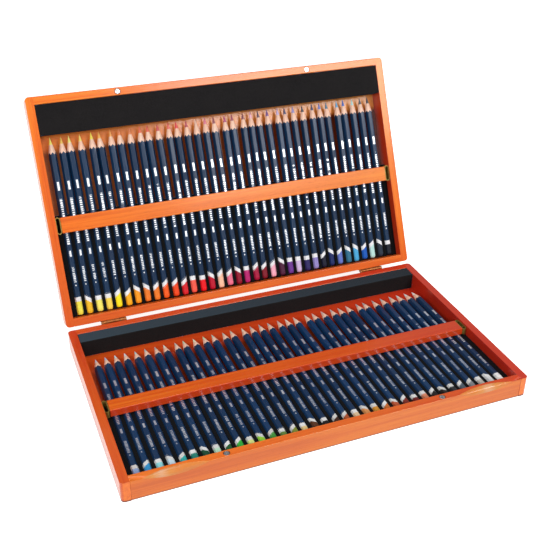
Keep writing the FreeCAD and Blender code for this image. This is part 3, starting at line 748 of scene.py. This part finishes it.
def make_clips():
    """Loops of brass strip with rounded edges, between the bars' ends and the rails.

    A loop is two half rounds, "reach" to either side of its middle; the long side towards the bar
    is bowed in a little.
    """
    reach, outer = 5.95, 2.3
    for tray, place in TRAYS.items():
        for side, word in ((-1, "left"), (1, "right")):
            bm = bmesh.new()
            rings = []
            for radius in (outer, outer - CLIP_STRIP):
                for z in (0, CLIP_HEIGHT):
                    turns = [(end, math.pi * i / 16) for end in (1, -1) for i in range(17)]
                    rings.append([bm.verts.new((end * radius * math.cos(a),
                                                end * (reach + radius * math.sin(a)), z))
                                  for end, a in turns])
            low_outer, high_outer, low_inner, high_inner = rings
            skin(bm, [low_outer, high_outer, high_inner, low_inner, low_outer])
            sharp = [e for e in bm.edges if e.calc_face_angle(0) > math.radians(60)]
            bmesh.ops.bevel(bm, geom=sharp, offset=0.14, segments=2, profile=0.5, affect="EDGES")
            for vertex in bm.verts:
                bow = 0.12 * max(0.0, 1 - (vertex.co.y / reach) ** 2)
                vertex.co.x -= math.copysign(bow, vertex.co.x) if vertex.co.x * side < 0 else 0
            at = Matrix.Translation((side * (INNER_X - outer), BAR_Y, CLIP_Z))
            bmesh.ops.transform(bm, matrix=place @ Matrix.Scale(MM, 4) @ at, verts=bm.verts)
            bmesh.ops.recalc_face_normals(bm, faces=bm.faces)
            mesh = baked(bm, f"{tray}_{word}_spring")
            shaped(mesh.name, mesh, (SPRING,), f"{tray}_tray", f"{tray}_{word}_clip")


def round_head(bm, radius, height, shank, length, slot):
    """A domed head on the plane Z = 0 and its shank below it; "slot" is half the slot's width."""
    start = len(bm.verts)
    profile = [(shank, -length), (shank, 0), (radius, 0)]
    for degrees in (20, 40, 60, 75):
        a = math.radians(degrees)
        profile.append((radius * math.cos(a) ** 0.8, height * math.sin(a)))
    turns = [math.pi * i / 14 for i in range(28)]
    rings = [[bm.verts.new((r * math.cos(a), r * math.sin(a), z)) for a in turns]
             for r, z in profile]
    skin(bm, rings)
    bm.faces.new(rings[-1])
    bm.faces.new(rings[0][::-1])
    bm.verts.ensure_lookup_table()
    if slot:
        for x in (-slot, slot):
            head = bm.verts[start:]
            edges = {e for v in head for e in v.link_edges}
            faces = {f for v in head for f in v.link_faces}
            bmesh.ops.bisect_plane(bm, geom=head + list(edges) + list(faces), dist=1e-7,
                                   plane_co=(x, 0, 0), plane_no=(1, 0, 0))
            bm.verts.ensure_lookup_table()
        top = {f for v in bm.verts[start:] for f in v.link_faces
               if abs(f.calc_center_median().x) < slot and f.calc_center_median().z > 0.02}
        out = bmesh.ops.extrude_face_region(bm, geom=list(top))
        for item in out["geom"]:
            if isinstance(item, bmesh.types.BMVert):
                item.co.z = height * 0.35
        bmesh.ops.delete(bm, geom=list(top), context="FACES_ONLY")
        bm.verts.ensure_lookup_table()
    return bm.verts[start:]


def make_fasteners():
    """Slotted screws of the hinges and domed brads of the springs."""
    for tray, place in TRAYS.items():
        bm = bmesh.new()
        turn = 1 if tray == "base" else -1
        for x in SCREW_X:
            pick = random.Random(x + turn)
            screw = round_head(bm, radius=1.7, height=0.75, shank=0.85, length=6.4, slot=0.24)
            at = Matrix.Translation((x, turn * LEAF_Y, LEAF_Z))
            at = at @ Matrix.Rotation(-turn * math.pi / 2, 4, "X")
            at = at @ Matrix.Rotation(pick.uniform(0, math.pi), 4, "Z")
            bmesh.ops.transform(bm, matrix=place @ Matrix.Scale(MM, 4) @ at, verts=screw)
        mesh = baked(bm, f"{tray}_slotted_screws")
        shaped(mesh.name, mesh, (BRASS,), f"{tray}_tray", f"{tray}_hinge_screws")
        bm = bmesh.new()
        for side in (-1, 1):
            brad = round_head(bm, radius=1.3, height=0.55, shank=0.55, length=4.6, slot=0)
            at = Matrix.Translation((side * (INNER_X - CLIP_STRIP), BAR_Y,
                                     CLIP_Z + CLIP_HEIGHT / 2))
            at = at @ Matrix.Rotation(-side * math.pi / 2, 4, "Y")
            bmesh.ops.transform(bm, matrix=place @ Matrix.Scale(MM, 4) @ at, verts=brad)
        mesh = baked(bm, f"{tray}_brads")
        shaped(mesh.name, mesh, (BRASS,), f"{tray}_tray", f"{tray}_clip_brads")


def dress_metal():
    for tray in TRAYS:
        for word in ("left", "right"):
            node = f"{tray}_{word}_hinge_leaf"
            shaped(node.replace("hinge", "brass"), eased(node, size=0.14, shortest=1.2), (HINGE,),
                   f"{tray}_tray", node)
        node = f"{tray}_magnets"
        shaped(f"{tray}_disc_magnets", eased(node, size=0.2, shortest=0), (NICKEL,),
               f"{tray}_tray", node)
    for word in ("left", "right"):
        node = f"{word}_hinge_pin"
        shaped(f"{word}_pin", eased(node, size=0.2, shortest=0), (HINGE,),
               "base_tray", node)


dress_wood()
dress_foam()
make_pencils()
make_clips()
make_fasteners()
dress_metal()


# ---------------------------------------------------------------- stage

def make_floor():
    """A pale floor that catches shadows, and looks near white to the eye and in reflections."""
    size, under = 6, -0.0002
    mesh = bpy.data.meshes.new("floor")
    mesh.from_pydata([(x * size, y * size, under) for x, y in ((-1, -1), (1, -1), (1, 1), (-1, 1))],
                     [], [(0, 1, 2, 3)])
    floor = bpy.data.objects.new("floor", mesh)
    bpy.context.scene.collection.objects.link(floor)
    s = Shader("pale_floor", Base_Color=(0.82, 0.82, 0.82, 1), Roughness=0.9)
    glow = s.tree.nodes.new("ShaderNodeEmission")
    both = s.tree.nodes.new("ShaderNodeAddShader")
    seen = s.tree.nodes.new("ShaderNodeLightPath").outputs
    direct = s.calc("MAXIMUM", seen["Is Camera Ray"], seen["Is Glossy Ray"])
    s.feed(glow.inputs["Strength"], s.calc("MULTIPLY", direct, 0.78))
    s.feed(both.inputs[0], s.bsdf.outputs[0])
    s.feed(both.inputs[1], glow.outputs[0])
    s.feed(s.tree.nodes["Material Output"].inputs["Surface"], both.outputs[0])
    mesh.materials.append(s.material)


def make_world():
    """A white room: full to the eye, dimmer in reflections, dimmer still as light."""
    world = bpy.data.worlds.new("studio")
    bpy.context.scene.world = world
    world.use_nodes = True
    w = Wires(world.node_tree)
    seen = w.tree.nodes.new("ShaderNodeLightPath").outputs
    white = w.calc("MAXIMUM", seen["Is Camera Ray"], w.calc("MULTIPLY", seen["Is Glossy Ray"], 0.3))
    level = w.tree.nodes.new("ShaderNodeMapRange")
    w.feed(level.inputs["Value"], white)
    w.feed(level.inputs["To Min"], 0.2)
    background = w.tree.nodes["Background"].inputs
    w.feed(background["Strength"], level.outputs[0])
    w.feed(background["Color"], (1, 1, 1, 1))


def make_light(name, place, aim, width, height, power):
    """A rectangular light, its size in m and its power in W."""
    lamp = bpy.data.lights.new(name, "AREA")
    lamp.shape = "RECTANGLE"
    lamp.size, lamp.size_y, lamp.energy = width, height, power
    obj = bpy.data.objects.new(name, lamp)
    obj.location = place
    obj.rotation_euler = (Vector(aim) - Vector(place)).to_track_quat("-Z", "Y").to_euler()
    bpy.context.scene.collection.objects.link(obj)


def make_camera():
    """Camera turned 22.3 degrees to the right and tipped 31 degrees down.

    "focal" is its focal length over the picture's width.
    """
    yaw, pitch, roll = math.radians(22.29), math.radians(31.03), math.radians(-0.76)
    focal = 877.1 / 560
    side = Vector((math.cos(yaw), -math.sin(yaw), 0))
    level = Vector((math.sin(yaw), math.cos(yaw), 0))
    ahead = level * math.cos(pitch) - Vector((0, 0, math.sin(pitch)))
    above = level * math.sin(pitch) + Vector((0, 0, math.cos(pitch)))
    right = side * math.cos(roll) - above * math.sin(roll)
    up = side * math.sin(roll) + above * math.cos(roll)
    camera = bpy.data.cameras.new("camera")
    camera.sensor_width, camera.lens = 36, 36 * focal
    camera.clip_start, camera.clip_end = 0.02, 30
    obj = bpy.data.objects.new("camera", camera)
    obj.matrix_world = Matrix((right, up, -ahead)).transposed().to_4x4()
    obj.matrix_world.translation = Vector((-0.2640, -0.6157, 0.5034))
    bpy.context.scene.collection.objects.link(obj)
    bpy.context.scene.camera = obj


make_floor()
make_world()
make_camera()
for lamp in (("key", (0.8, -1.38, 1.28), (0.05, 0.1, 0.1), 0.9, 0.8, 22),
             ("fill", (-0.7, -1.6, 1.0), (0, 0.05, 0.08), 0.4, 0.5, 10.5),
             ("top", (0.0, 0.2, 2.0), (0, 0, 0), 1.2, 1.2, 11),
             ("left", (-1.5, -0.4, 0.9), (0, 0, 0.03), 0.8, 0.8, 8)):
    make_light(*lamp)
bpy.context.scene.view_settings.view_transform = "Standard"
